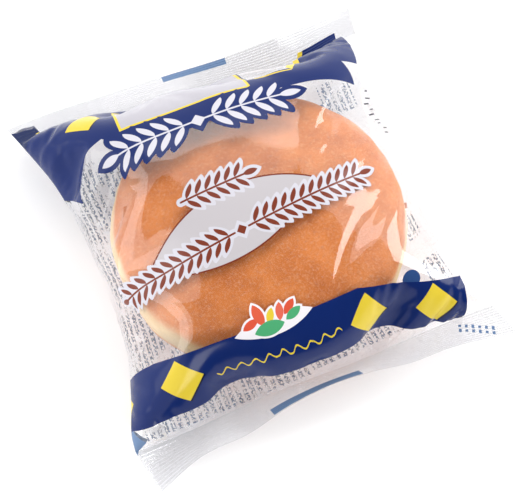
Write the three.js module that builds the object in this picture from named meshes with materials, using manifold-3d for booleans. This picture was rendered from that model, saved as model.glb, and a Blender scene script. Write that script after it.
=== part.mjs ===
// A filled beignet in its clear flow-wrap pack, lying flat with the printed side up.
// The sealed pack is one closed pillow: a dome stretched over the round bun, a flat patch under it
// and a crimped fin at each end. Millimetres, +Z up, X across the pack, Y from the near fin to the
// far fin. The origin is under the middle of the pack, on the surface it lies on.

import * as THREE from "three";
import Module from "manifold-3d";

// Sizes of the pack as it lies
const PACK_WIDTH = 128;
const PACK_LENGTH = 137;
const FIN_DEPTH = 12;
const FIN_THICKNESS = 0.8;

// The bun holds the film up and the film pulls the pack's sides in
const PACK_HEIGHT = 42.5;
const WAIST_PULL = { left: 9, right: 13 };
const WAIST_POWER = 2.4;

// Crimp ridges that run across each fin
const CRIMP_COUNT = 5;
const CRIMP_HEIGHT = 0.22;

// How the fins lie: heights of the four corners, and how far each fin's middle is lifted and drawn in
const NEAR_FIN = { left: 2.2, right: 6, lift: 8.5, drawn: 6, root: 9, skew: 0.3 };
const FAR_FIN = { left: 6, right: 5.5, lift: 6.5, drawn: 6, root: 12, skew: 0.5 };

// Fullness of the dome and of the underside, as powers of the curves that make them
const DOME = { along: 4.5, across: 3, round: 0.6 };
const BELLY = { along: 4, across: 2.6, round: 0.7 };
const BELLY_SINK = 2;
const CORNER_DIP = 0.55;

// Steps of the grid across the pack, along the filled part and along each fin
const STEPS_ACROSS = 36;
const STEPS_ALONG = 34;
const STEPS_FIN = 2 * CRIMP_COUNT;

const HALF_WIDTH = PACK_WIDTH / 2;
const HALF_LENGTH = PACK_LENGTH / 2;
const ROOT_Y = HALF_LENGTH - FIN_DEPTH;

// Half the pack's width at a place along it, on its left or right
function halfWidth(y, s) {
  const pull = s < 0 ? WAIST_PULL.left : WAIST_PULL.right;
  return HALF_WIDTH - pull * (1 - Math.abs(y / HALF_LENGTH) ** WAIST_POWER);
}

// The row of places along the pack: near fin, filled part with closer steps at its ends, far fin
function stations() {
  const rows = [];
  for (let i = 0; i < STEPS_FIN; i++) {
    rows.push(-1 - (STEPS_FIN - i) / STEPS_FIN);
  }
  for (let i = 0; i <= STEPS_ALONG; i++) {
    rows.push(-Math.cos((Math.PI * i) / STEPS_ALONG));
  }
  for (let i = 1; i <= STEPS_FIN; i++) {
    rows.push(1 + i / STEPS_FIN);
  }
  return rows;
}

// Height at the middle of a fin's film, and how far it is drawn in, from its root to its cut edge
function finPlace(fin, s, along) {
  const arch = (1 - s * s) ** 1.5 * (1 + fin.skew * s);
  const corner = fin.left + ((fin.right - fin.left) * (s + 1)) / 2;
  const edgeHeight = corner + fin.lift * arch;
  return {
    height: fin.root + (edgeHeight - fin.root) * along,
    drawn: fin.drawn * arch * along,
  };
}

// Height of the film where it parts into front and back, blended from the near root to the far root
function rootHeight(t) {
  return NEAR_FIN.root + ((FAR_FIN.root - NEAR_FIN.root) * (t + 1)) / 2;
}

// One point of the front (side = 1) or back (side = -1) film; t is past 1 or -1 on the fins
function filmPoint(s, t, side) {
  const onFin = Math.abs(t) > 1;
  const along = onFin ? Math.abs(t) - 1 : 0;
  const end = Math.sign(t);
  if (onFin) {
    const { height, drawn } = finPlace(end < 0 ? NEAR_FIN : FAR_FIN, s, along);
    const y = end * (ROOT_Y + FIN_DEPTH * along - drawn);
    const ridge = Math.round(along * STEPS_FIN) % 2 === 1 ? CRIMP_HEIGHT : 0;
    const flatY = end * (ROOT_Y + FIN_DEPTH * along);
    return [s * halfWidth(flatY, s), y, height + side * (FIN_THICKNESS / 2) + ridge];
  }
  const y = t * ROOT_Y;
  const root = rootHeight(t);
  const shape = side > 0 ? DOME : BELLY;
  const across = (1 - Math.abs(s) ** shape.across) ** shape.round;
  const dip = 1 - CORNER_DIP * s * s * t * t;
  const lengthwise = (1 - Math.abs(t) ** shape.along) ** shape.round * dip;
  const reach = side > 0 ? PACK_HEIGHT - root : root + BELLY_SINK;
  const height = root + side * (FIN_THICKNESS / 2 + (reach - FIN_THICKNESS / 2) * across * lengthwise);
  return [s * halfWidth(y, s), y, height];
}

// The closed pillow: a front grid, a back grid and a narrow wall that joins them all round
function pillow() {
  const rows = stations();
  const columns = STEPS_ACROSS + 1;
  const positions = [];
  for (const side of [1, -1]) {
    for (const t of rows) {
      for (let i = 0; i < columns; i++) {
        positions.push(...filmPoint((2 * i) / STEPS_ACROSS - 1, t, side));
      }
    }
  }
  const back = rows.length * columns;
  const triangles = [];
  const quad = (a, b, c, d) => triangles.push(a, b, c, a, c, d);
  for (let j = 0; j < rows.length - 1; j++) {
    for (let i = 0; i < STEPS_ACROSS; i++) {
      const a = j * columns + i;
      quad(a, a + 1, a + columns + 1, a + columns);
      quad(back + a, back + a + columns, back + a + columns + 1, back + a + 1);
    }
    const left = j * columns;
    const right = left + STEPS_ACROSS;
    quad(left, left + columns, back + left + columns, back + left);
    quad(right, back + right, back + right + columns, right + columns);
  }
  const last = (rows.length - 1) * columns;
  for (let i = 0; i < STEPS_ACROSS; i++) {
    quad(i, back + i, back + i + 1, i + 1);
    quad(last + i, last + i + 1, back + last + i + 1, back + last + i);
  }
  return { positions: new Float32Array(positions), triangles: new Uint32Array(triangles) };
}

// The pillow with the flat patch that it rests on: what sinks below the surface is cut away
async function restingPillow() {
  const wasm = await Module();
  wasm.setup();
  const solid = ({ positions, triangles }) =>
    new wasm.Manifold(new wasm.Mesh({ numProp: 3, vertProperties: positions, triVerts: triangles }));
  const ground = new THREE.BoxGeometry(PACK_WIDTH * 2, PACK_LENGTH * 2, PACK_HEIGHT);
  ground.translate(0, 0, -PACK_HEIGHT / 2);
  const mesh = solid(pillow()).subtract(solid(mergedBox(ground))).getMesh();
  const geometry = new THREE.BufferGeometry();
  geometry.setAttribute("position", new THREE.BufferAttribute(new Float32Array(mesh.vertProperties), 3));
  geometry.setIndex(new THREE.BufferAttribute(new Uint32Array(mesh.triVerts), 1));
  geometry.computeVertexNormals();
  return geometry;
}

// A box's shared corners, with each corner kept once
function mergedBox(box) {
  const places = box.getAttribute("position");
  const found = new Map();
  const positions = [];
  const renumber = [];
  for (let i = 0; i < places.count; i++) {
    const corner = [places.getX(i), places.getY(i), places.getZ(i)];
    const key = corner.join(",");
    if (!found.has(key)) {
      found.set(key, found.size);
      positions.push(...corner);
    }
    renumber.push(found.get(key));
  }
  const triangles = Array.from(box.getIndex().array, (i) => renumber[i]);
  return { positions: new Float32Array(positions), triangles: new Uint32Array(triangles) };
}

const wrappedBun = new THREE.Mesh(
  await restingPillow(),
  new THREE.MeshStandardMaterial({ color: 0xd9935f, roughness: 0.25, metalness: 0 }),
);
wrappedBun.name = "filled_pack";

const group = new THREE.Group();
group.add(wrappedBun);

export default group;
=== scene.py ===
"""A round filled beignet sealed in a clear printed flow-wrap pack, lying flat with its print up.

The bun is a fried dough body with a pale collar round its middle. The pack is one tube of clear
film, pressed flat and crimped at both ends. The tube is drawn down over the bun until it lies as
film does: taut over the crust, with flat facets and pleats towards its corners.
"""

import math
from collections import namedtuple

import bpy
import numpy as np
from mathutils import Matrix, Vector, noise


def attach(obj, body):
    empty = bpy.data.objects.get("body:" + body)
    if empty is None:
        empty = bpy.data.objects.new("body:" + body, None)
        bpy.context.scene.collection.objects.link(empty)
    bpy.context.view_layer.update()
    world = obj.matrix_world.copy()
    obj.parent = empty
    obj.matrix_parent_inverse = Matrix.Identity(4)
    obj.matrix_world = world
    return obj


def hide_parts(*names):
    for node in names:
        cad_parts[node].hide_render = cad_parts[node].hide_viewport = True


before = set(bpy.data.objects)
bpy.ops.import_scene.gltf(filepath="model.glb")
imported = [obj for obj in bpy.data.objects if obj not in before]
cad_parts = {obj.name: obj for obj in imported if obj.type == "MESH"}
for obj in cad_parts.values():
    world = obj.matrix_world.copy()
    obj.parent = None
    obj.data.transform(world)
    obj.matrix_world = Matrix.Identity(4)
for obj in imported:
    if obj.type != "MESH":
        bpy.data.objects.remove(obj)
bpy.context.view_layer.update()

bl_info = {
    "name": "Wrapped beignet",
    "version": (1, 0, 0),
    "blender": (4, 5, 0),
    "location": "3D View > Sidebar > Beignet",
    "description": "Makes a filled beignet in its sealed clear pack, with a plain stage",
    "category": "Add Mesh",
}

MM = 0.001

# How the tube of film lies, in millimetres: the seam lines where the pouch ends and the fins begin,
# the cut edges of the fins, and the two folds down the sides. Left to right, then near to far.
NEAR_SEAM = (
    (-64, -51, 5.5),
    (-52, -52, 7),
    (-20, -52, 9),
    (12, -53.5, 9),
    (40, -53.5, 9),
    (58.5, -54, 7.5),
)
NEAR_CUT = (
    (-61.7, -65.2, 2),
    (-46, -60.6, 4.7),
    (-30, -60.6, 7.6),
    (-14, -58.5, 11),
    (0, -58.3, 13),
    (12, -59.4, 12.9),
    (25, -61.2, 10.5),
    (40, -61.4, 8),
    (62, -65, 6),
)
FAR_SEAM = (
    (-59.4, 58.2, 13),
    (-44.8, 57.4, 14),
    (-32, 55.6, 14),
    (-10.4, 53.5, 13),
    (12, 50.2, 12),
    (26, 47.8, 11.5),
    (38, 48, 11),
    (51, 51, 10),
    (60.2, 52.7, 9),
)
FAR_CUT = (
    (-61.3, 68.3, 6),
    (-49.5, 68.1, 6.5),
    (-28.4, 66.3, 7.5),
    (-6.2, 64.5, 8),
    (15.2, 60.7, 12),
    (28.3, 59.5, 14),
    (43.3, 61, 10.5),
    (63.4, 63.9, 5.5),
)
LEFT_FOLD = (
    (-64, -51, 5.5),
    (-63.4, -47, 7.3),
    (-59.4, -37, 9.2),
    (-55, -24, 11.6),
    (-53, -8, 14),
    (-52.4, 9.4, 14.6),
    (-52.8, 24, 14.4),
    (-54.2, 38, 13.5),
    (-59.4, 58.2, 13),
)
RIGHT_FOLD = (
    (58.5, -54, 7.5),
    (55.9, -47, 9.2),
    (52.2, -33, 11.6),
    (50.6, -21, 13),
    (53.8, 12.7, 13),
    (57, 30.8, 11.4),
    (60.2, 52.7, 9),
)

# The loose pillow that the pouch settles from, in millimetres: how high its front stands, the power
# of its curve from seam to seam, and the powers of its curve across and of its rounding
LOOSE_HEIGHT = 40.5
LOOSE_LENGTHWISE = 3.6
LOOSE_FRONT = (2.6, 0.55)
LOOSE_BACK = (2.4, 0.6)

# The net that the film settles as: lengths across the front, points from seam to seam, and steps
NET_HALF = 88
NET_ROWS = 77
SETTLE_STEPS = 400

# Millimetres that the film keeps off the crust, before and while it settles, and off the table
LOOSE_GAP = 0.8
CRUST_GAP = 0.5
TABLE_GAP = 0.12

# How the film settles: how far each lengthwise line goes from the loose pillow's length to the flat
# film's, the share of the loose pillow's extra width that stays, the share of its speed that a point
# keeps, the air's push in millimetres a step, and the stiffness against shear and against bending.
# Bending is felt over a few reaches of the net, which stay at least a share of their length apart
TO_FLAT = 0.04
TAKE_UP = 0.75
KEPT_SPEED = 0.9
AIR = 0.0003
SHEAR = 0.6
BENDING = ((2, 0.2), (4, 0.1), (8, 0.05))
BENT_LENGTH = 0.995

# The crimped fins: rows of points, half the height of a ridge in millimetres, and how steeply the
# ridges rise from the seam, fade towards the cut edge, and the two layers part, as 1 / share of depth
FIN_ROWS = 58
RIDGE_HEIGHT = 0.12
RIDGE_RISE = 6
RIDGE_FADE = 12
LAYERS_PART = 8

# The bun's mesh and unevenness, in metres: cells along a side of each of its six grids, share, number
# and phase of its flatter sides, how far its skin lies in, its dents, and the grooves by its collar
BUN_CELLS = 118
FLAT_SIDES = ((0.012, 3, 0.6), (0.006, 5, -0.9))
DENTS_PER_METRE = 55
SKIN_INSET = 0.00035
DENT_DEPTH = 0.00045
GROOVE_WIDTH = 0.0011
GROOVE_DEPTH = 0.00035


def linear(code):
    """A colour written as sRGB hex, as the linear numbers that Blender wants."""
    parts = [int(code[i : i + 2], 16) / 255 for i in (0, 2, 4)]
    return tuple(c / 12.92 if c <= 0.04045 else ((c + 0.055) / 1.055) ** 2.4 for c in parts) + (1.0,)


def length(name, description, default):
    """A size setting, in metres."""
    return bpy.props.FloatProperty(name=name, description=description, default=default, unit="LENGTH")


def ratio(name, description, default):
    """A setting that has no unit."""
    return bpy.props.FloatProperty(name=name, description=description, default=default)


def angle(name, description, degrees):
    """An angle setting, given in degrees."""
    return bpy.props.FloatProperty(
        name=name, description=description, default=math.radians(degrees), subtype="ANGLE"
    )


def paint(name, description, code):
    """A colour setting, given as sRGB hex."""
    return bpy.props.FloatVectorProperty(
        name=name, description=description, subtype="COLOR", size=4, min=0, max=1, default=linear(code)
    )


class BunSettings(bpy.types.PropertyGroup):
    """Sizes and colours of the fried bun."""

    radius: length("Radius", "Half of the bun's width", 0.0473)
    half_height: length("Half height", "Half of the bun's height", 0.0192)
    middle: length("Middle", "Height of the bun's widest line above the table", 0.0196)
    across: length("Across", "How far the bun lies to the right of the pack's middle", -0.0012)
    along: length("Along", "How far the bun lies towards the far fin", -0.0038)
    fullness: ratio("Fullness", "Power of the bun's profile: 2 is an ellipse, more is boxier", 2.35)
    collar: length("Collar", "Half of the height of the pale collar", 0.0037)
    lean: ratio("Lean", "Slope of the collar: it drops towards the far right", 0.035)
    crust: paint("Crust", "Fried crust, golden brown", "E5883E")
    deep: paint("Deep crust", "Crust where the oil browned it most", "CA6F2C")
    blister: paint("Blisters", "Fine pale blisters of the crust", "EDB384")
    pale: paint("Collar colour", "Dough that floated above the oil", "EACD9F")


class FilmSettings(bpy.types.PropertyGroup):
    """Sizes and colours of the film pack."""

    width: length("Width", "Width of the tube pressed flat", 0.124)
    pouch: length("Pouch length", "Length of the film from seam to seam", 0.130)
    fin: length("Fin depth", "Depth of a crimped fin", 0.012)
    crimp: length("Crimp pitch", "Distance from one crimp ridge to the next", 0.00095)
    layers: length("Layer gap", "Distance between the two layers of a fin", 0.00016)
    navy: paint("Navy", "Navy ink of the bands", "122763")
    yellow: paint("Yellow", "Yellow ink of the lozenges", "E3C93E")
    white: paint("White", "White ink", "D1CFD7")
    panel: paint("Panel", "White ink of the blank panel", "B9B6BD")
    brown: paint("Brown", "Brown ink", "7C3B2B")
    grey: paint("Grey", "Pale grey ink of the lens", "C2BDC0")
    steel: paint("Steel blue", "Blue-grey ink of the back", "6C86AA")
    mound: paint("Mound", "White ink under the flower", "EFEBEE")


class StageSettings(bpy.types.PropertyGroup):
    """The camera and the table."""

    azimuth: angle("Azimuth", "Turn of the camera round the pack", -24.17)
    elevation: angle("Elevation", "Height angle of the camera", 68.67)
    distance: length("Distance", "Distance from the camera to the pack", 0.4926)
    lens: bpy.props.FloatProperty(
        name="Lens", description="Focal length", subtype="DISTANCE_CAMERA", default=103.07
    )
    floor: paint("Table", "White acrylic of the table", "F4F4F4")


# ---------------------------------------------------------------- shapes


def smooth_line(points, count):
    """Evenly spaced places along a smooth curve through a few points."""
    p = np.array(points, float)
    run = np.concatenate([[0], np.cumsum(np.linalg.norm(np.diff(p, axis=0), axis=1))])
    slope = np.gradient(p, run, axis=0)
    fine = np.linspace(0, run[-1], 40 * len(p))
    i = np.clip(np.searchsorted(run, fine) - 1, 0, len(run) - 2)
    h = (run[i + 1] - run[i])[:, None]
    t = (fine - run[i])[:, None] / h
    line = (
        (2 * t**3 - 3 * t**2 + 1) * p[i]
        + (t**3 - 2 * t**2 + t) * h * slope[i]
        + (3 * t**2 - 2 * t**3) * p[i + 1]
        + (t**3 - t**2) * h * slope[i + 1]
    )
    run = np.concatenate([[0], np.cumsum(np.linalg.norm(np.diff(line, axis=0), axis=1))])
    even = np.linspace(0, run[-1], count)
    return np.stack([np.interp(even, run, line[:, k]) for k in range(3)], -1)


class Bun:
    """The bun as the film meets it, in millimetres: a round body with a full profile."""

    def __init__(self, settings, gap):
        self.centre = np.array([settings.across, settings.along, settings.middle]) / MM
        self.size = np.array([settings.radius, settings.radius, settings.half_height]) / MM + gap
        self.power = settings.fullness

    def push(self, places):
        """The places, with those inside the bun moved out to its surface."""
        q = places - self.centre
        p = self.power
        flat = np.maximum(np.hypot(q[..., 0], q[..., 1]), 1e-6)
        r = flat / self.size[0]
        z = np.abs(q[..., 2]) / self.size[2]
        total = np.maximum(r**p + z**p, 1e-9)
        depth = 1 - total ** (1 / p)
        rise = total ** (1 / p - 1)
        out = r ** (p - 1) * rise / (flat * self.size[0])
        up = z ** (p - 1) * np.sign(q[..., 2]) * rise / self.size[2]
        way = np.stack([out * q[..., 0], out * q[..., 1], up], -1)
        step = np.maximum(depth, 0) / ((way * way).sum(-1) + 1e-9)
        return places + step[..., None] * way

    def heights(self, x, y):
        """Heights of the bun's top and underside at each place, and whether the bun is there."""
        r = np.minimum(np.hypot(x - self.centre[0], y - self.centre[1]) / self.size[0], 1)
        half = self.size[2] * (1 - r**self.power) ** (1 / self.power)
        return self.centre[2] + half, self.centre[2] - half, r < 1


def loose_tube(bun, half, rows):
    """The front and the back of the pouch before it settles: a full pillow between its four sides."""
    s = np.linspace(-1, 1, half + 1)[None, :]
    t = np.linspace(0, 1, rows)[:, None]
    near, far = smooth_line(NEAR_SEAM, half + 1), smooth_line(FAR_SEAM, half + 1)
    left, right = smooth_line(LEFT_FOLD, rows), smooth_line(RIGHT_FOLD, rows)
    S, T = ((s + 1) / 2)[..., None], t[..., None]
    corners = (1 - T) * ((1 - S) * near[0] + S * near[-1]) + T * ((1 - S) * far[0] + S * far[-1])
    middle = (1 - T) * near + T * far + (1 - S) * left[:, None] + S * right[:, None] - corners
    front, back = middle.copy(), middle.copy()
    lengthwise = 1 - np.abs(2 * t - 1) ** LOOSE_LENGTHWISE
    curve, rounding = LOOSE_FRONT
    front[..., 2] += (LOOSE_HEIGHT - middle[..., 2]) * ((1 - np.abs(s) ** curve) * lengthwise) ** rounding
    curve, rounding = LOOSE_BACK
    back[..., 2] -= middle[..., 2] * ((1 - np.abs(s) ** curve) * lengthwise) ** rounding
    above, below, over = bun.heights(middle[..., 0], middle[..., 1])
    front[..., 2] = np.where(over, np.maximum(front[..., 2], above), front[..., 2])
    back[..., 2] = np.where(over, np.minimum(back[..., 2], below), back[..., 2])
    return front, back


class FilmNet:
    """Film as a net of points, where each length between two points gets its size back. Rows run near
    to far. Columns go round the tube: from the left fold over the front, and back underneath."""

    def __init__(self, points, loose, round_rest, along_rest):
        self.points = points
        self.loose = loose
        self.round_rest = round_rest
        self.along_rest = along_rest
        self.diagonal = np.sqrt(round_rest[:-1] ** 2 + along_rest**2)
        self.row = np.arange(points.shape[0])
        self.column = np.arange(points.shape[1])

    def least_lengths(self, reach):
        """The least lengths, round the tube and along it, that a reach of the net bends down to."""
        rows, columns = len(self.row), len(self.column)
        round_least = sum(self.round_rest[:, (self.column + m) % columns] for m in range(reach))
        along_least = sum(self.along_rest[m : rows - reach + m] for m in range(reach))
        return round_least * BENT_LENGTH, along_least * BENT_LENGTH

    def normals(self):
        """The way out of the tube at each point."""
        X = self.points
        normal = np.cross(np.roll(X, -1, axis=1) - np.roll(X, 1, axis=1), np.gradient(X, axis=0))
        return normal / (np.linalg.norm(normal, axis=2, keepdims=True) + 1e-9)

    @staticmethod
    def moves(A, B, loose_a, loose_b, rest, strength, only_push=False):
        """How far the two ends of each length of film move to give it back its size."""
        gap = B - A
        size = np.sqrt((gap * gap).sum(-1, keepdims=True)) + 1e-9
        share = np.maximum(loose_a + loose_b, 1e-9)
        error = (size - rest[..., None]) / size
        if only_push:
            error = np.minimum(error, 0)
        move = strength * gap * error / share
        return loose_a * move, loose_b * move

    def pull_along(self, reach, strength, rest, only_push=False):
        """Gives the lengths along the tube, over a reach of rows, their size back."""
        X, loose = self.points, self.loose
        starts = self.row[:-reach]
        for odd in (0, 1):
            a = starts[(starts // reach) % 2 == odd]
            b = a + reach
            move_a, move_b = self.moves(X[a], X[b], loose[a], loose[b], rest[a], strength, only_push)
            X[a] += move_a
            X[b] -= move_b

    def pull_round(self, reach, strength, rest, only_push=False):
        """Gives the lengths round the tube, over a reach of columns, their size back."""
        X, loose = self.points, self.loose
        for odd in (0, 1):
            a = self.column[(self.column // reach) % 2 == odd]
            b = (a + reach) % len(self.column)
            ends = (X[:, a], X[:, b], loose[:, a], loose[:, b])
            move_a, move_b = self.moves(*ends, rest[:, a], strength, only_push)
            X[:, a] += move_a
            X[:, b] -= move_b

    def pull_diagonals(self, strength):
        """Keeps each mesh of the net from shearing, by both its diagonals."""
        X, loose = self.points, self.loose
        starts = self.row[:-1]
        for odd in (0, 1):
            a = starts[starts % 2 == odd]
            for low, high in ((0, 1), (1, 0)):
                A, B = np.roll(X[a], -low, axis=1), np.roll(X[a + 1], -high, axis=1)
                loose_a, loose_b = np.roll(loose[a], -low, axis=1), np.roll(loose[a + 1], -high, axis=1)
                move_a, move_b = self.moves(A, B, loose_a, loose_b, self.diagonal[a], strength)
                X[a] += np.roll(move_a, low, axis=1)
                X[a + 1] -= np.roll(move_b, high, axis=1)


def loose_net(film, bun_settings):
    """The net before it settles, with the lengths of film that it will take. The ends and the folds
    are held where they lie."""
    half, rows, columns = NET_HALF, NET_ROWS, 2 * NET_HALF
    front, back = loose_tube(Bun(bun_settings, LOOSE_GAP), half, rows)
    X = np.concatenate([front, back[:, half - 1 : 0 : -1]], axis=1)
    width, pouch = film.width / MM, film.pouch / MM
    around = np.linalg.norm(X - np.roll(X, -1, axis=1), axis=2)
    lengths = np.linalg.norm(np.diff(X, axis=0), axis=2).sum(0)
    along_rest = (TO_FLAT * pouch + (1 - TO_FLAT) * lengths) / (rows - 1)
    round_rest = np.empty((rows, columns))
    for side in (slice(0, half), slice(half, columns)):
        row = width + (around[:, side].sum(1) - width) * TAKE_UP
        round_rest[:, side] = (row / half)[:, None]
    loose = np.ones((rows, columns, 1))
    loose[[0, -1]] = 0
    loose[:, [0, half]] = 0
    return FilmNet(X, loose, round_rest, np.broadcast_to(along_rest, (rows - 1, columns)))


def settled_tube(film, bun_settings):
    """The pouch after it settles: every length of film keeps to its size, the bun holds it up and
    the table stops it."""
    net = loose_net(film, bun_settings)
    bends = [(reach, strength, *net.least_lengths(reach)) for reach, strength in BENDING]
    bun = Bun(bun_settings, CRUST_GAP)
    speed = np.zeros_like(net.points)
    for _ in range(SETTLE_STEPS):
        before = net.points.copy()
        net.points += net.loose * (KEPT_SPEED * speed + AIR * net.normals())
        for reach, strength, round_least, along_least in bends:
            net.pull_round(reach, strength, round_least, only_push=True)
            net.pull_along(reach, strength, along_least, only_push=True)
        net.pull_diagonals(SHEAR)
        net.pull_along(1, 1.0, net.along_rest)
        net.pull_round(1, 1.0, net.round_rest)
        held = bun.push(net.points)
        held[..., 2] = np.maximum(held[..., 2], TABLE_GAP)
        net.points = np.where(net.loose > 0, held, net.points)
        speed = net.points - before
    return net.points


def finer(X):
    """The net with a smooth new point halfway between each two, round the tube and along it."""
    ahead, behind = np.roll(X, -1, axis=1), np.roll(X, 1, axis=1)
    middle = (9 * (X + ahead) - behind - np.roll(X, -2, axis=1)) / 16
    wide = np.stack([X, middle], axis=2).reshape(len(X), -1, 3)
    ends = np.concatenate([2 * wide[:1] - wide[1:2], wide, 2 * wide[-1:] - wide[-2:-1]])
    middle = (9 * (ends[1:-2] + ends[2:-1]) - ends[:-3] - ends[3:]) / 16
    out = np.empty((2 * len(wide) - 1,) + wide.shape[1:])
    out[::2] = wide
    out[1::2] = middle
    return out


def fin_rows(seam, cut, film, outward):
    """The rows of a fin from next to its seam to its cut edge: two layers with crimp ridges."""
    half = seam.shape[0] // 2
    front = seam[: half + 1]
    edge = smooth_line(cut, half + 1)
    depth, pitch = film.fin / MM, film.crimp / MM
    normal = np.cross(np.gradient(front, axis=0), edge - front) * outward
    normal /= np.linalg.norm(normal, axis=1, keepdims=True)
    rows = []
    for k in range(1, FIN_ROWS + 1):
        t = k / FIN_ROWS
        ridged = min(1, t * RIDGE_RISE) * min(1, (1.02 - t) * RIDGE_FADE)
        ridge = RIDGE_HEIGHT * ridged * math.sin(2 * math.pi * t * depth / pitch)
        flat = front + (edge - front) * t + normal * ridge
        gap = normal * (film.layers / MM / 2) * min(1, t * LAYERS_PART)
        ring = np.concatenate([flat + gap, (flat - gap)[half - 1 : 0 : -1]])
        ring[[0, half]] = flat[[0, half]]
        rows.append(ring)
    return rows


def film_net(film, bun_settings):
    """The whole tube, fin to fin, and the place of each row and column on the flat film."""
    pouch = finer(settled_tube(film, bun_settings))
    near = fin_rows(pouch[0], NEAR_CUT, film, -1)
    far = fin_rows(pouch[-1], FAR_CUT, film, 1)
    net = np.concatenate([np.array(near[::-1]), pouch, np.array(far)])
    inner = film.pouch / MM / 2
    beyond = np.linspace(0, film.fin / MM, len(near) + 1)[1:]
    along = np.concatenate([-inner - beyond[::-1], np.linspace(-inner, inner, len(pouch)), inner + beyond])
    width = film.width / MM
    around = np.linspace(-width / 2, 3 * width / 2, net.shape[1] + 1)
    return net, along, around


def add_film_mesh(name, film, bun_settings):
    """The tube as one closed mesh with a map of the flat film in millimetres. On the map the front is
    in the middle, and the back is half on its left and half on its right."""
    net, along, around = film_net(film, bun_settings)
    rows, columns = net.shape[:2]
    half, width = columns // 2, film.width / MM
    faces, places = [], []
    for i in range(columns):
        turn = 2 * width if i >= 1.5 * half else 0
        u0, u1 = around[i] - turn, around[i + 1] - turn
        j = (i + 1) % columns
        for k in range(rows - 1):
            low, high = k * columns, (k + 1) * columns
            faces.append((low + i, low + j, high + j, high + i))
            places += [(u0, along[k]), (u1, along[k]), (u1, along[k + 1]), (u0, along[k + 1])]
    for row, flip in ((0, 1), (rows - 1, -1)):
        for i in range(half):
            ring = [i + 1, i, (columns - i) % columns, columns - i - 1]
            ring = list(dict.fromkeys(row * columns + c for c in ring))[::flip]
            faces.append(tuple(ring))
            places += [(around[i], along[row])] * len(ring)
    mesh = bpy.data.meshes.new(name)
    mesh.from_pydata((net.reshape(-1, 3) * MM).tolist(), [], faces)
    mesh.uv_layers.new(name="flat_film").data.foreach_set("uv", np.array(places, np.float32).ravel())
    mesh.shade_smooth()
    return mesh


def round_grid(cells):
    """Ways out all round and the faces between them: a cube's six grids, blown up to a ball."""
    line = np.tan(np.linspace(-math.pi / 4, math.pi / 4, cells + 1))
    a, b = np.meshgrid(line, line)
    one = np.ones_like(a)
    sides = [(one, a, b), (-one, b, a), (b, one, a), (a, -one, b), (a, b, one), (b, a, -one)]
    found, ways, faces = {}, [], []
    for side in sides:
        grid = np.stack(side, -1)
        grid /= np.linalg.norm(grid, axis=-1, keepdims=True)
        keys = np.round(grid * 1e6).astype(np.int64)
        numbers = np.empty(a.shape, int)
        for j, i in np.ndindex(a.shape):
            key = tuple(keys[j, i])
            if key not in found:
                found[key] = len(ways)
                ways.append(grid[j, i])
            numbers[j, i] = found[key]
        for j, i in np.ndindex(cells, cells):
            faces.append((numbers[j, i], numbers[j, i + 1], numbers[j + 1, i + 1], numbers[j + 1, i]))
    return np.array(ways), faces


def add_bun_mesh(name, bun):
    """The fried body: round, with a few flatter sides, shallow dents and a slight groove at both
    edges of its pale collar."""
    way, faces = round_grid(BUN_CELLS)
    p = bun.fullness
    flat = np.hypot(way[:, 0], way[:, 1])
    reach = ((flat / bun.radius) ** p + (np.abs(way[:, 2]) / bun.half_height) ** p) ** (-1 / p)
    body = way * reach[:, None]
    turn = np.arctan2(way[:, 1], way[:, 0])
    swell = sum(share * np.cos(count * turn + phase) for share, count, phase in FLAT_SIDES)
    body[:, :2] *= (1 + np.minimum(swell, 0) * (flat**2))[:, None]
    dents = np.array([noise.fractal(Vector(v) * DENTS_PER_METRE, 0.6, 2.0, 3) for v in body])
    sink = -SKIN_INSET + DENT_DEPTH * np.clip(dents, -1, 0.6)
    level = np.abs(body[:, 2] + bun.lean * (body[:, 0] + body[:, 1]))
    groove = np.exp(-(((level - bun.collar) / GROOVE_WIDTH) ** 2)) * GROOVE_DEPTH
    body += way * (sink - groove)[:, None]
    body += np.array([bun.across, bun.along, bun.middle])
    mesh = bpy.data.meshes.new(name)
    mesh.from_pydata(body.tolist(), [], faces)
    mesh.shade_smooth()
    return mesh


# ---------------------------------------------------------------- nodes


def add(tree, kind, inputs=(), **settings):
    """Adds one node, sets it, links it and gives its first output."""
    node = tree.nodes.new("ShaderNode" + kind)
    for name, value in settings.items():
        setattr(node, name, value)
    for key, value in inputs.items() if isinstance(inputs, dict) else enumerate(inputs):
        if isinstance(value, bpy.types.NodeSocket):
            tree.links.new(value, node.inputs[key])
        else:
            node.inputs[key].default_value = value
    return node.outputs[0]


def blank_material(name):
    material = bpy.data.materials.new(name)
    material.use_nodes = True
    material.node_tree.nodes.clear()
    return material, material.node_tree


def add_output(tree, surface):
    tree.links.new(surface, tree.nodes.new("ShaderNodeOutputMaterial").inputs["Surface"])


def stamp(tree, sheet, across, along, turn=0.0):
    """Places on the film as seen from a printed motif: its own right and up, in millimetres."""
    own = add(
        tree,
        "Mapping",
        {"Vector": sheet, "Location": (across, along, 0), "Rotation": (0, 0, math.radians(turn))},
        vector_type="TEXTURE",
    )
    parts = add(tree, "SeparateXYZ", (own,)).node
    return parts.outputs[0], parts.outputs[1]


def block(tree, x, y, half_width, half_height):
    """1 inside an upright rectangle."""
    wide = add(tree, "Math", (x, 0.0, half_width), operation="COMPARE")
    tall = add(tree, "Math", (y, 0.0, half_height), operation="COMPARE")
    return add(tree, "Math", (wide, tall), operation="MULTIPLY")


def lozenge(tree, x, y, half_diagonal):
    """1 inside a square that stands on its corner."""
    wide = add(tree, "Math", (x,), operation="ABSOLUTE")
    tall = add(tree, "Math", (y,), operation="ABSOLUTE")
    total = add(tree, "Math", (wide, tall), operation="ADD")
    return add(tree, "Math", (total, half_diagonal), operation="LESS_THAN")


def far_out(tree, x, y):
    """How far a place is from where its own x and y are 0."""
    place = add(tree, "CombineXYZ", (x, y))
    return add(tree, "VectorMath", (place,), operation="LENGTH").node.outputs["Value"]


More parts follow.
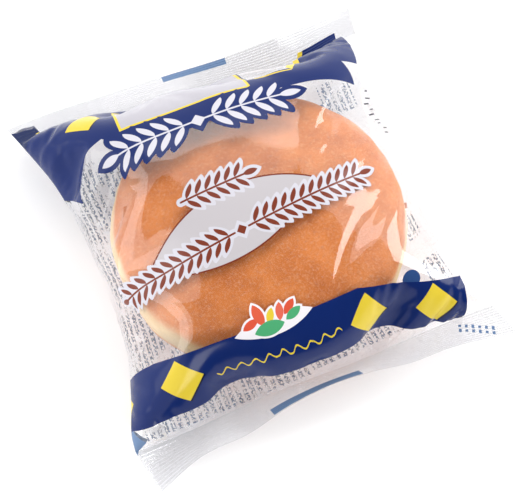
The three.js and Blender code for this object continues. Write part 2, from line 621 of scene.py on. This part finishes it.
def almond(tree, x, y, half_length, half_height):
    """How deep a place is inside an almond with pointed ends, in millimetres."""
    radius = (half_length**2 + half_height**2) / (2 * half_height)
    high = add(tree, "Math", (y,), operation="ABSOLUTE")
    high = add(tree, "Math", (high, radius - half_height), operation="ADD")
    return add(tree, "Math", (radius, far_out(tree, x, high)), operation="SUBTRACT")


def deep_enough(tree, depth, least=0.0):
    """1 where a place is at least so deep inside a shape."""
    return add(tree, "Math", (depth, least), operation="GREATER_THAN")


def cut_shape(tree, x, y, corners):
    """1 inside a shape with straight sides and no hollow, given its corners anticlockwise."""
    inside = None
    for (x0, y0), (x1, y1) in zip(corners, corners[1:] + corners[:1]):
        run, rise = x1 - x0, y1 - y0
        side = add(tree, "Math", (x, -rise, rise * x0 - run * y0), operation="MULTIPLY_ADD")
        side = add(tree, "Math", (y, run, side), operation="MULTIPLY_ADD")
        inside = side if inside is None else add(tree, "Math", (inside, side), operation="MINIMUM")
    return add(tree, "Math", (inside, 0.0), operation="GREATER_THAN")


def either(tree, *masks):
    """1 where any of the masks is 1."""
    total = masks[0]
    for mask in masks[1:]:
        total = add(tree, "Math", (total, mask), operation="MAXIMUM")
    return total


# ---------------------------------------------------------------- print
# Places and sizes are millimetres on the flat film, from the middle of its front. The back's halves
# are beyond 62 on both sides, and the fins beyond 65 at both ends.

# An ear of wheat: whether two grow apart from the centre, where the first grain stands, the distance
# between grains and their number on a side, half their length and thickness, and how far they slant
Ear = namedtuple("Ear", "paired start pitch count grain thick slant")
LARGE_EARS = Ear(True, 4.6, 4.3, 5, 2.75, 1.3, 0.75)
SHORT_EAR = Ear(False, -8.5, 3.1, 6, 1.9, 0.92, 0.75)
LONG_EARS = Ear(True, 4.2, 3.1, 12, 1.9, 0.92, 0.75)
STEM_HALF = 0.3
GRAIN_GAP = 0.25

# Place and turn of the thread on the lower band, half its length, its pitch, rise and half thickness,
# and how many higher or lower stretches there are to a millimetre
THREAD_PLACE = (-10.0, -46.0, 1)
THREAD_SIZE = (19.0, 4.2, 1.0, 0.3)
SWELLS_PER_MM = 0.35

# The small flower: place and turn of its mound, half the mound's length and height, how full its
# petals are and how wide their halos. Then each petal's and leaf's offset, turn, half length, colour
MOUND_PLACE = (-9.0, -36.6, 2)
MOUND_SIZE = (12.0, 3.4)
PETAL_FULLNESS = 0.45
PETAL_HALO = 0.6
PETALS = (
    (-6.5, 1.6, 20, 2.7, "D9573F"),
    (-3.6, 3.4, 100, 3.4, "DB6045"),
    (-0.4, 2.2, 62, 2.4, "E3C83F"),
    (2.6, 2.6, 75, 2.6, "DF6A55"),
    (5.6, 3.0, 40, 2.6, "D9573F"),
    (6.2, 0.9, 24, 2.8, "4FA873"),
    (-1.6, -1.0, 4, 4.6, "4FA873"),
)

# Place, turn and height ratio of each lozenge of the two bands, half its diagonal, half its dark
# edge's diagonal, and how far the edge is to the lower right
UPPER_LOZENGES = ((-38.6, 49.5, 4, 1.0),)
LOWER_LOZENGES = (
    (-66.0, -49.0, 9, 1.0),
    (-39.2, -44.0, 1, 1.0),
    (18.7, -45.9, -1, 1.2),
    (40.8, -45.2, 4, 1.22),
)
LOZENGE_HALF = 6.7
EDGE_HALF = 6.8
EDGE_SHIFT = 0.35

# Rows of fine marks: distance from row to row, half the height of the marks, how many marks and how
# many paler or darker stretches there are to a millimetre, how much longer than high the marks are,
# and places and half sizes of the fields that hold rows
ROW_PITCH = 2.3
ROW_HALF = 0.72
MARKS_PER_MM = 0.95
FADES_PER_MM = 0.11
MARK_STRETCH = 1.6
PRINT_FIELDS = (
    (-95, -6, 28, 56),
    (100, 14, 22, 30),
    (104, -52, 20, 8),
    (73, -19, 4, 7),
    (77, 44, 5.5, 8),
    (71, -41, 4, 6),
)

# Places and half sizes of the sealing marks on the fins
SEALING_MARKS = ((2.3, 75.4, 11.0, 1.3), (-5.0, -74.6, 15.0, 1.7))

# Places and half sizes of the disc and the spot at the right, and of the lozenge on the near fin
DISC_PLACE, DISC_RADIUS = (34, -40.8), 2.8
SPOT_PLACE, SPOT_SIZE = (69.8, -12.5, 30), (0.7, 1.1)
FIN_LOZENGE, FIN_LOZENGE_HALF = (-62, -61.0), 5.2

# The line of dots down the right side: their number, the first one's place, how far every other one
# is to the right, the distance from dot to dot, their half lengths in turn, and turn and half height
DOTS = 9
DOT_START = (53.2, 31)
DOT_SHIFT = 1.1
DOT_PITCH = 2.4
DOT_LENGTHS = (0.7, 1.1, 1.1)
DOT_TURN, DOT_HALF = 12, 0.28

# The two rows of dashes on the near fin: the number in a row, the first one's place, the steps from
# dash to dash and from row to row, their half lengths in turn, and turn and half height
DASHES = 6
DASH_START = (46.5, -70.4)
DASH_STEP = (1.7, -0.95)
DASH_ROW_STEP = (1, 2)
DASH_LENGTHS = (0.9, 0.6, 0.75)
DASH_TURN, DASH_HALF = 62, 0.42

# Place and half sizes of the blank panel, and the width of its border
PANEL_PLACE = (-9.2, 48)
PANEL_SIZE = (19.8, 11.8)
PANEL_BORDER = 0.8

# Place and turn of the lens, half its length and height, and the width of its outline
LENS_PLACE = (-10.5, -5.7, 9.5)
LENS_SIZE = (29.5, 10.4)
LENS_LINE = 0.45

# Places of the ears of wheat with their turns, and the width of the halos round them. Then half the
# diagonal of the small lozenge between two ears, with its halo and without
LARGE_PLACE, LARGE_HALO = (-7.5, 28.3, 0), 1.5
SHORT_PLACE, LONG_PLACE, SMALL_HALO = (-11.3, 6.3, 3), (-8.0, -8.5, 7), 1.0
LARGE_MIDDLE = (4.4, 2.3)
SMALL_MIDDLE = (3.0, 1.6)

# Parts of the upper band: at the left, under the panel and behind it, right of a clear gap and under
# that gap, and where it runs on to the far fin at both ends
UPPER_BAND = (
    [(-69, 36.5), (15, 36.5), (15, 40), (-69, 40)],
    [(-30, 29.6), (15, 29.6), (15, 37), (-36, 37)],
    [(-69, 39.8), (11.8, 39.8), (11.8, 64.5), (-69, 64.5)],
    [(24.5, 39), (48.7, 39.8), (54, 60), (54, 64.5), (37.5, 64.5)],
    [(11, 31), (45.7, 31), (42.3, 39.9), (11, 39.9)],
    [(37.3, 64), (54, 64), (54, 69.3), (39.8, 69.3)],
    [(-70, 64), (-53.5, 64), (-54.5, 71), (-66, 74), (-70, 73)],
)
# Its tail down the left fold, and the circle that rounds the tail's inner corner
BAND_TAIL = [(-52.3, 25), (-38, 25), (-38, 37), (-64, 37)]
TAIL_CIRCLE = ((-39.5, 24.5, 0), 12.6)
# Its tip on the far fin, in a darker navy that is painted shade, the slivers of yellow at its right end,
# and the one by its tip
BAND_TIP_PAINTED_SHADE = [(-66, 60), (-53.5, 62), (-54.5, 71), (-66, 74)]
BAND_SLIVERS = (
    [(24.4, 41.0), (25.8, 38.6), (34.2, 54.6), (32.4, 55.2)],
    [(32.4, 55.2), (34.2, 54.6), (40.0, 69.0), (38.2, 69.4)],
    [(14.0, 39.6), (25.5, 38.2), (25.5, 38.9), (14.0, 40.3)],
)
TIP_SLIVER, TIP_SLIVER_SIZE = (-53.8, 65.5, 35), (0.6, 2.2)
# The lower band, and the foot of it by the left fold
LOWER_BAND = [(-70, -54.2), (50.5, -54.2), (51.5, -36.3), (-48, -36.3), (-70, -41.0)]
LOWER_BAND_FOOT = [(-62.5, -57.7), (-46, -54.3), (-46, -50), (-62.5, -50)]

# Where the film starts to be drawn down into the near seam, over what width, and how steeply
DRAWN_FROM = 17.0
DRAWN_WIDTH = 34.0
DRAWN_SLOPE = 0.33


def side_dots():
    """Places and half lengths of the dots of a line down the right side."""
    across, along = DOT_START
    for k in range(DOTS):
        yield across + DOT_SHIFT * (k % 2), along - DOT_PITCH * k, DOT_LENGTHS[k % 3]


def fin_dashes():
    """Places and half lengths of two rows of dashes at the right end of the near fin."""
    for k in range(DASHES):
        for row in (0, 1):
            steps = zip(DASH_START, DASH_STEP, DASH_ROW_STEP)
            across, along = (start + step * k + over * row for start, step, over in steps)
            yield across, along, DASH_LENGTHS[(k + row) % 3]


def wheat_ears(tree, x, y, ear, widths):
    """A pair of wheat ears that grow apart from the centre, or one ear: slanted grains on both sides
    of a thin stem, and one at the tip. Gives a mask of them for each width that they are grown by."""
    if ear.paired:
        x = add(tree, "Math", (x,), operation="ABSOLUTE")
    side = add(tree, "Math", (y,), operation="ABSOLUTE")
    # The nearest grain's number along the stem, and the place as seen from that grain
    lean = add(tree, "Math", (side, -ear.slant, x), operation="MULTIPLY_ADD")
    place = add(tree, "Math", (lean, 1 / ear.pitch, -ear.start / ear.pitch), operation="MULTIPLY_ADD")
    number = add(tree, "Math", (place,), operation="ROUND")
    number = add(tree, "Math", (number, 0.0), operation="MAXIMUM")
    number = add(tree, "Math", (number, ear.count - 1.0), operation="MINIMUM")
    own = add(tree, "Math", (place, number), operation="SUBTRACT")
    own = add(tree, "Math", (own, ear.pitch), operation="MULTIPLY")
    out = add(tree, "Math", (side, ear.grain + GRAIN_GAP), operation="SUBTRACT")
    grains = almond(tree, out, own, ear.grain, ear.thick)
    # The grain at the tip is a quarter longer
    tip = ear.start + ear.pitch * ear.count + ear.slant * 0.5
    ahead = add(tree, "Math", (x, tip + ear.grain * 0.8), operation="SUBTRACT")
    crown = almond(tree, ahead, y, ear.grain * 1.25, ear.thick)
    # The stem has round ends
    foot = ear.start - ear.pitch * 0.6
    past = add(tree, "Math", (x, (foot + tip) / 2), operation="SUBTRACT")
    past = add(tree, "Math", (past,), operation="ABSOLUTE")
    past = add(tree, "Math", (past, (tip - foot) / 2), operation="SUBTRACT")
    past = add(tree, "Math", (past, 0.0), operation="MAXIMUM")
    stem = add(tree, "Math", (STEM_HALF, far_out(tree, past, y)), operation="SUBTRACT")
    depth = either(tree, grains, crown, stem)
    return [deep_enough(tree, depth, -width) for width in widths]


def winding_thread(tree, x, y, reach, pitch, rise, half_width):
    """1 on a thin thread that winds up and down, higher in some places than in others."""
    wave = add(tree, "Math", (x, 2 * math.pi / pitch), operation="MULTIPLY")
    wave = add(tree, "Math", (wave,), operation="SINE")
    swell = add(tree, "TexNoise", {"W": x, "Scale": SWELLS_PER_MM, "Detail": 1.0}, noise_dimensions="1D")
    swell = add(tree, "Math", (swell, 2 * rise), operation="MULTIPLY")
    wave = add(tree, "Math", (wave, swell), operation="MULTIPLY")
    high = add(tree, "Math", (y, wave), operation="SUBTRACT")
    near = add(tree, "Math", (high, 0.0, half_width), operation="COMPARE")
    ends = add(tree, "Math", (x, 0.0, reach), operation="COMPARE")
    return add(tree, "Math", (near, ends), operation="MULTIPLY")


def fine_rows(tree, sheet):
    """How much ink there is of the rows of fine marks on the back of the tube. Each row is a strip of
    noise that spells nothing, paler and darker from place to place. Real rows are finer: these are as
    coarse as they need to be to show."""
    x, y = stamp(tree, sheet, 0, 0)
    in_row = add(tree, "Math", (x, ROW_PITCH / 2), operation="PINGPONG")
    in_row = add(tree, "Math", (in_row, ROW_HALF), operation="LESS_THAN")
    place = add(tree, "CombineXYZ", (add(tree, "Math", (x, MARK_STRETCH), operation="MULTIPLY"), y))
    settings = {"Vector": place, "Scale": MARKS_PER_MM, "Detail": 2.5}
    marks = add(tree, "TexNoise", settings, noise_dimensions="2D")
    marks = add(tree, "MapRange", {"Value": marks, "From Min": 0.47, "From Max": 0.54})
    settings = {"Vector": place, "Scale": FADES_PER_MM, "Detail": 2.0}
    faded = add(tree, "TexNoise", settings, noise_dimensions="2D")
    faded = add(tree, "MapRange", {"Value": faded, "From Min": 0.33, "From Max": 0.5, "To Max": 0.95})
    ink = add(tree, "Math", (marks, in_row), operation="MULTIPLY")
    ink = add(tree, "Math", (ink, faded), operation="MULTIPLY")
    fields = []
    for across, along, wide, tall in PRINT_FIELDS:
        fields.append(block(tree, *stamp(tree, sheet, across, along), wide, tall))
    return add(tree, "Math", (ink, either(tree, *fields)), operation="MULTIPLY")


def upper_band(tree, x, y):
    """1 on the upper navy band, with its tail down the left fold."""
    tail = cut_shape(tree, x, y, BAND_TAIL)
    centre, radius = TAIL_CIRCLE
    place = add(tree, "CombineXYZ", (x, y))
    away = add(tree, "VectorMath", (place, centre), operation="DISTANCE").node.outputs["Value"]
    outside = add(tree, "Math", (away, radius), operation="GREATER_THAN")
    tail = add(tree, "Math", (tail, outside), operation="MULTIPLY")
    return either(tree, tail, *(cut_shape(tree, x, y, corners) for corners in UPPER_BAND))


def drawn_sheet(tree, sheet):
    """Places on the film for the lower band: towards the right the film is drawn down into the near
    seam, and the print with it."""
    x, y = stamp(tree, sheet, 0, 0)
    past = add(tree, "Math", (x, DRAWN_FROM), operation="SUBTRACT")
    past = add(tree, "Math", (past, 0.0), operation="MAXIMUM")
    past = add(tree, "Math", (past, DRAWN_WIDTH), operation="MINIMUM")
    return add(tree, "CombineXYZ", (x, add(tree, "Math", (past, DRAWN_SLOPE, y), operation="MULTIPLY_ADD")))


def lozenges(tree, sheet, film, places):
    """Yellow squares on their corners, each with a thin dark edge along its lower right sides."""
    edge, square = (EDGE_SHIFT, EDGE_HALF, linear("0C1430")), (0, LOZENGE_HALF, film.yellow)
    for shift, half_diagonal, ink in (edge, square):
        masks = []
        for across, along, turn, tall in places:
            x, y = stamp(tree, sheet, across + shift, along - shift, turn)
            y = add(tree, "Math", (y, 1 / tall), operation="MULTIPLY")
            masks.append(lozenge(tree, x, y, half_diagonal))
        yield ink, either(tree, *masks)


def flower(tree, sheet, film):
    """A small generic flower on a white mound: leaf shapes in red, yellow and green."""
    across, along, _ = MOUND_PLACE
    mound = almond(tree, *stamp(tree, sheet, *MOUND_PLACE), *MOUND_SIZE)
    white = [deep_enough(tree, mound)]
    petals = []
    for step, rise, turn, size, code in PETALS:
        own = stamp(tree, sheet, across + step, along + rise, turn)
        depth = almond(tree, *own, size, size * PETAL_FULLNESS)
        white.append(deep_enough(tree, depth, -PETAL_HALO))
        petals.append((linear(code), deep_enough(tree, depth)))
    yield film.mound, either(tree, *white)
    yield from petals


def marks_on_film(tree, sheet, film):
    """What lies under the bands: the marks on the fins and the dots and spots at the right."""
    for across, along, wide, tall in SEALING_MARKS:
        yield film.steel, block(tree, *stamp(tree, sheet, across, along), wide, tall)
    for across, along, size in side_dots():
        place = stamp(tree, sheet, across, along, DOT_TURN)
        yield linear("4A4A52"), block(tree, *place, size, DOT_HALF)
    for across, along, size in fin_dashes():
        place = stamp(tree, sheet, across, along, DASH_TURN)
        yield film.steel, block(tree, *place, size, DASH_HALF)
    disc = almond(tree, *stamp(tree, sheet, *DISC_PLACE), DISC_RADIUS, DISC_RADIUS)
    yield linear("2E4A7D"), deep_enough(tree, disc)
    yield film.steel, lozenge(tree, *stamp(tree, sheet, *FIN_LOZENGE), FIN_LOZENGE_HALF)
    yield linear("E58A45"), block(tree, *stamp(tree, sheet, *SPOT_PLACE), *SPOT_SIZE)


def bands(tree, sheet, film):
    """The two navy bands with their yellow lozenges."""
    x, y = stamp(tree, sheet, 0, 0)
    low_sheet = drawn_sheet(tree, sheet)
    low_x, low_y = stamp(tree, low_sheet, 0, 0)
    low = cut_shape(tree, low_x, low_y, LOWER_BAND)
    slivers = [cut_shape(tree, x, y, corners) for corners in BAND_SLIVERS]
    slivers.append(block(tree, *stamp(tree, sheet, *TIP_SLIVER), *TIP_SLIVER_SIZE))
    yield film.navy, upper_band(tree, x, y)
    yield film.navy, either(tree, low, cut_shape(tree, x, y, LOWER_BAND_FOOT))
    # The band's tip on the far fin in a darker navy: painted shade
    yield linear("0C2152"), cut_shape(tree, x, y, BAND_TIP_PAINTED_SHADE)
    yield film.yellow, either(tree, *slivers)
    yield from lozenges(tree, sheet, film, UPPER_LOZENGES)
    yield from lozenges(tree, low_sheet, film, LOWER_LOZENGES)


def panel_and_ears(tree, sheet, film):
    """The blank panel with its yellow border, and the white wheat ears under it."""
    panel = stamp(tree, sheet, *PANEL_PLACE)
    border = [half + PANEL_BORDER for half in PANEL_SIZE]
    yield film.yellow, block(tree, *panel, *border)
    yield film.panel, block(tree, *panel, *PANEL_SIZE)
    mark = stamp(tree, sheet, *LARGE_PLACE)
    ears = wheat_ears(tree, *mark, LARGE_EARS, (LARGE_HALO, 0))
    for ink, ear, half in zip((film.navy, film.white), ears, LARGE_MIDDLE):
        yield ink, either(tree, ear, lozenge(tree, *mark, half))


def lens_and_ears(tree, sheet, film):
    """The grey lens, and the brown wheat ears with their white halos."""
    lens = almond(tree, *stamp(tree, sheet, *LENS_PLACE), *LENS_SIZE)
    yield film.brown, deep_enough(tree, lens)
    yield film.grey, deep_enough(tree, lens, LENS_LINE)
    mark = stamp(tree, sheet, *LONG_PLACE)
    upper = wheat_ears(tree, *stamp(tree, sheet, *SHORT_PLACE), SHORT_EAR, (SMALL_HALO, 0))
    lower = wheat_ears(tree, *mark, LONG_EARS, (SMALL_HALO, 0))
    for ink, short, long, half in zip((film.white, film.brown), upper, lower, SMALL_MIDDLE):
        yield ink, either(tree, short, long, lozenge(tree, *mark, half))


def thread_on_band(tree, sheet, film):
    """The winding thread on the lower band."""
    low = stamp(tree, drawn_sheet(tree, sheet), *THREAD_PLACE)
    yield film.yellow, winding_thread(tree, *low, *THREAD_SIZE)


def printed(tree, sheet, film):
    """The colour of the print and how much it covers, over the flat film. Each part of the print
    gives its inks with their masks, and each ink lies over those before it."""
    colour, cover = film.steel, fine_rows(tree, sheet)
    for part in (marks_on_film, bands, panel_and_ears, lens_and_ears, thread_on_band, flower):
        for ink, mask in part(tree, sheet, film):
            colour = add(tree, "MixRGB", (mask, colour, ink))
            cover = add(tree, "Math", (cover, mask), operation="MAXIMUM")
    return colour, cover


# ---------------------------------------------------------------- materials

# Clear film: the share of light that its two faces mirror when seen face on, and how much more when
# seen edge on
FACE_ON = 0.075
EDGE_ON = 0.8

# Where the fins begin on the flat film, and from where the far fin gets painted shade, in millimetres
FIN_FROM = 65.0
PAINTED_SHADE_FROM = 64.0

# Scuffs to a millimetre of film. Real ones are hairlines: they are as coarse as they need to show.
# Then how much longer than wide they are, as 1 / ratio, and the share of milkiness all over, and how
# much more there is in a scuff and on a fin
SCUFFS_PER_MM = 1.1
SCUFF_STRETCH = 0.5
MILKY = 0.015
MILKY_SCUFF = 0.16
MILKY_FIN = 0.10

# Crust, in millimetres: width of its browner patches and of its blisters, width and height of the
# waves in the collar's edges, and how far outside and inside them the collar fades. The finest real
# blisters are 0.3 mm wide, which is too fine to show
PATCH_WIDTH = 11
BLISTER_WIDTH = 0.8
WAVE_WIDTH = 14
WAVE_HEIGHT = 3.0
FADE_OUTSIDE = 2.8
FADE_INSIDE = 1.6


def scuffs(tree, sheet):
    """How milky the film is: a little all over, more in fine scuffs and on the crimped fins."""
    x, y = stamp(tree, sheet, 0, 0)
    fin = add(tree, "Math", (y,), operation="ABSOLUTE")
    fin = add(tree, "Math", (fin, FIN_FROM), operation="GREATER_THAN")
    streak = add(tree, "CombineXYZ", (add(tree, "Math", (x, SCUFF_STRETCH), operation="MULTIPLY"), y))
    settings = {"Vector": streak, "Scale": SCUFFS_PER_MM, "Detail": 5.0, "Roughness": 0.7}
    fine = add(tree, "TexNoise", settings, noise_dimensions="2D")
    fine = add(tree, "MapRange", {"Value": fine, "From Min": 0.56, "From Max": 0.78, "To Max": MILKY_SCUFF})
    fine = add(tree, "Math", (fine, MILKY), operation="ADD")
    return add(tree, "Math", (fin, MILKY_FIN, fine), operation="MULTIPLY_ADD")


def film_material(film):
    """Clear polypropylene film, printed and heat sealed: two glossy faces close together, so twice
    one face's reflection. It gives crisp highlights on every facet, a faint grey where layers
    overlap, painted shade on the far fin, and flat glossy ink where it is printed."""
    material, tree = blank_material("clear_printed_film")
    sheet = add(tree, "UVMap", uv_map="flat_film")
    colour, cover = printed(tree, sheet, film)
    glance = add(tree, "LayerWeight", {"Blend": 0.5}).node.outputs["Facing"]
    glance = add(tree, "Math", (glance, 4.0), operation="POWER")
    mirror = add(tree, "Math", (glance, EDGE_ON, FACE_ON), operation="MULTIPLY_ADD", use_clamp=True)
    # The far fin lets less light through than the rest of the film: painted shade, which dims what lies
    # behind it
    far_fin_painted_shade = add(tree, "SeparateXYZ", (sheet,)).node.outputs["Y"]
    far_fin_painted_shade = add(tree, "Math", (far_fin_painted_shade, PAINTED_SHADE_FROM), operation="GREATER_THAN")
    tint = add(tree, "MixRGB", (far_fin_painted_shade, linear("FDFDFE"), linear("EFEFF0")))
    clear = add(tree, "BsdfTransparent", {"Color": tint})
    haze = add(tree, "BsdfDiffuse", {"Color": linear("C8C8CD")})
    clear = add(tree, "MixShader", (scuffs(tree, sheet), clear, haze))
    shine = add(tree, "BsdfGlossy", {"Color": linear("FFFFFF"), "Roughness": 0.07})
    clear = add(tree, "MixShader", (mirror, clear, shine))
    ink = add(
        tree,
        "BsdfPrincipled",
        {"Base Color": colour, "Roughness": 0.16, "IOR": 1.42, "Specular IOR Level": 0.3},
    )
    add_output(tree, add(tree, "MixShader", (cover, clear, ink)))
    return material


def collar_mask(tree, place, bun):
    """1 on the pale collar: near the bun's widest line, which leans, with wavy soft edges."""
    waves = add(tree, "TexNoise", {"Vector": place, "Scale": 1 / (WAVE_WIDTH * MM), "Detail": 3.0})
    right, far, height = add(tree, "SeparateXYZ", (place,)).node.outputs
    sideways = add(tree, "Math", (right, far), operation="ADD")
    height = add(tree, "Math", (sideways, bun.lean, height), operation="MULTIPLY_ADD")
    widest = bun.middle + bun.lean * (bun.across + bun.along)
    height = add(tree, "Math", (height, widest), operation="SUBTRACT")
    height = add(tree, "Math", (waves, WAVE_HEIGHT * MM, height), operation="MULTIPLY_ADD")
    height = add(tree, "Math", (height, WAVE_HEIGHT / 2 * MM), operation="SUBTRACT")
    height = add(tree, "Math", (height,), operation="ABSOLUTE")
    clear, full = bun.collar + FADE_OUTSIDE * MM, bun.collar - FADE_INSIDE * MM
    settings = {"Value": height, "From Min": clear, "From Max": full}
    return add(tree, "MapRange", settings, interpolation_type="SMOOTHSTEP")


def crust_material(bun):
    """Fried yeast dough: matt brown crust with fine pale blisters, a little oil on it, and a pale
    collar where the dough floated above the oil."""
    material, tree = blank_material("fried_dough_crust")
    place = add(tree, "TexCoord").node.outputs["Object"]
    settings = {"Vector": place, "Scale": 1 / (PATCH_WIDTH * MM), "Detail": 4.0, "Roughness": 0.55}
    patch = add(tree, "TexNoise", settings)
    patch = add(tree, "MapRange", {"Value": patch, "From Min": 0.35, "From Max": 0.68})
    browned = add(tree, "MixRGB", (patch, bun.crust, bun.deep))
    settings = {"Vector": place, "Scale": 1 / (BLISTER_WIDTH * MM), "Detail": 3.0, "Roughness": 0.6}
    grain = add(tree, "TexNoise", settings)
    fleck = add(tree, "MapRange", {"Value": grain, "From Min": 0.5, "From Max": 0.75, "To Max": 0.55})
    browned = add(tree, "MixRGB", (fleck, browned, bun.blister))
    colour = add(tree, "MixRGB", (collar_mask(tree, place, bun), browned, bun.pale))
    bump = add(tree, "Bump", {"Strength": 0.7, "Distance": 0.0003, "Height": grain})
    settings = {"Base Color": colour, "Roughness": 0.52, "IOR": 1.45, "Normal": bump}
    add_output(tree, add(tree, "BsdfPrincipled", settings))
    return material


def acrylic_material(stage):
    """White acrylic sheet that is softly lit from below, which leaves hardly any shadow."""
    material, tree = blank_material("lit_white_acrylic")
    lit = {"Emission Color": stage.floor, "Emission Strength": 0.18}
    add_output(tree, add(tree, "BsdfPrincipled", {"Base Color": stage.floor, "Roughness": 0.9, **lit}))
    return material


def card_material():
    """Matt black card, which gives the film nothing bright to mirror."""
    material, tree = blank_material("black_card")
    add_output(tree, add(tree, "BsdfPrincipled", {"Base Color": linear("161616"), "Roughness": 1.0}))
    return material


# ---------------------------------------------------------------- stage

# Half the width of the table, and the place on it that the camera looks at, in metres
TABLE_HALF = 2.5
AIM = (-0.00022, -0.00385, 0)

# Corners of the black cards over the set and before it, which keep the lower half of the film free
# of glare, in metres
BLACK_CARDS = (
    ((-1.0, -0.9, 0.95), (1.5, -0.9, 0.95), (0.5, 0.27, 0.95), (-1.0, 0.27, 0.95)),
    ((-0.7, -0.9, 0.02), (1.5, -0.9, 0.02), (1.5, -0.9, 0.95), (-0.7, -0.9, 0.95)),
)

# Name, place, size and power of each softbox, and the place that they point at, in metres and watts
SOFTBOXES = (
    ("left_softbox", (-0.62, 0.16, 0.42), (0.6, 0.6), 1.9),
    ("far_softbox", (0.15, 0.56, 0.8), (0.8, 0.34), 1.8),
    ("right_softbox", (0.72, -0.14, 0.38), (0.56, 0.56), 4.8),
    ("near_softbox", (-0.4, -0.8, 0.5), (0.4, 0.4), 3.2),
)
LIT_PLACE = (0, 0, 0.02)


def add_object(name, data, material=None):
    """A new object in the scene, with its material where it is a mesh."""
    if material:
        data.materials.append(material)
    piece = bpy.data.objects.new(name, data)
    bpy.context.scene.collection.objects.link(piece)
    return piece


def add_panels(name, panels, material):
    """Flat four-cornered panels as one stage object."""
    mesh = bpy.data.meshes.new(name)
    corners = [corner for panel in panels for corner in panel]
    faces = [tuple(range(4 * k, 4 * k + 4)) for k in range(len(panels))]
    mesh.from_pydata(corners, [], faces)
    add_object(name, mesh, material)


def add_surroundings():
    """A bright plain studio all round."""
    world = bpy.data.worlds.new("studio")
    world.use_nodes = True
    background = world.node_tree.nodes["Background"]
    background.inputs["Color"].default_value = linear("FAFAFC")
    background.inputs["Strength"].default_value = 1.3
    bpy.context.scene.world = world


def add_softbox(name, place, size, power):
    light = bpy.data.lights.new(name, "AREA")
    light.shape = "RECTANGLE"
    light.size, light.size_y = size
    light.energy = power
    box = add_object(name, light)
    box.location = place
    box.rotation_euler = (Vector(LIT_PLACE) - Vector(place)).to_track_quat("-Z", "Y").to_euler()


def add_camera(stage):
    turn, rise = stage.azimuth, stage.elevation
    flat = math.cos(rise)
    back = Vector((math.sin(turn) * flat, -math.cos(turn) * flat, math.sin(rise)))
    lens = bpy.data.cameras.new("camera")
    lens.lens = stage.lens
    lens.sensor_width = 36
    lens.clip_start = 0.01
    camera = add_object("camera", lens)
    camera.location = Vector(AIM) + back * stage.distance
    camera.rotation_euler = (-back).to_track_quat("-Z", "Y").to_euler()
    bpy.context.scene.camera = camera


# ---------------------------------------------------------------- operators


class WRAPPED_OT_bun(bpy.types.Operator):
    """Make the fried bun that the pack holds"""

    bl_idname = "wrapped.bun"
    bl_label = "Bun"

    def execute(self, context):
        bun = context.scene.wrapped_bun
        piece = add_object("beignet", add_bun_mesh("beignet", bun), crust_material(bun))
        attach(piece, "root")
        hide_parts("filled_pack")
        return {"FINISHED"}


class WRAPPED_OT_film(bpy.types.Operator):
    """Make the sealed film pack round the bun"""

    bl_idname = "wrapped.film"
    bl_label = "Film pack"

    def execute(self, context):
        film = context.scene.wrapped_film
        mesh = add_film_mesh("film_pack", film, context.scene.wrapped_bun)
        piece = add_object("film_pack", mesh, film_material(film))
        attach(piece, "root")
        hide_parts("filled_pack")
        return {"FINISHED"}


class WRAPPED_OT_stage(bpy.types.Operator):
    """Make the table, the soft lights, the black cards and the camera"""

    bl_idname = "wrapped.stage"
    bl_label = "Stage"

    def execute(self, context):
        stage = context.scene.wrapped_stage
        half = TABLE_HALF
        table = ((-half, -half, 0), (half, -half, 0), (half, half, 0), (-half, half, 0))
        add_panels("table_top", [table], acrylic_material(stage))
        add_surroundings()
        add_panels("black_cards", BLACK_CARDS, card_material())
        for softbox in SOFTBOXES:
            add_softbox(*softbox)
        add_camera(stage)
        context.scene.view_settings.view_transform = "Standard"
        return {"FINISHED"}


# Each operator with the name of its settings in the scene, and their group
STEPS = (
    (WRAPPED_OT_bun, "wrapped_bun", BunSettings),
    (WRAPPED_OT_film, "wrapped_film", FilmSettings),
    (WRAPPED_OT_stage, "wrapped_stage", StageSettings),
)


class WRAPPED_PT_panel(bpy.types.Panel):
    """Lists each piece's sizes and colours, and the button that makes it"""

    bl_label = "Wrapped beignet"
    bl_idname = "WRAPPED_PT_panel"
    bl_space_type = "VIEW_3D"
    bl_region_type = "UI"
    bl_category = "Beignet"

    def draw(self, context):
        for operator, name, group in STEPS:
            for setting in group.__annotations__:
                self.layout.prop(getattr(context.scene, name), setting)
            self.layout.operator(operator.bl_idname)


def register():
    for operator, name, group in STEPS:
        bpy.utils.register_class(group)
        bpy.utils.register_class(operator)
        setattr(bpy.types.Scene, name, bpy.props.PointerProperty(type=group))
    bpy.utils.register_class(WRAPPED_PT_panel)


def unregister():
    bpy.utils.unregister_class(WRAPPED_PT_panel)
    for operator, name, group in reversed(STEPS):
        delattr(bpy.types.Scene, name)
        bpy.utils.unregister_class(operator)
        bpy.utils.unregister_class(group)


def main():
    register()
    bpy.ops.wrapped.bun()
    bpy.ops.wrapped.film()
    bpy.ops.wrapped.stage()


if __name__ == "__main__":
    main()
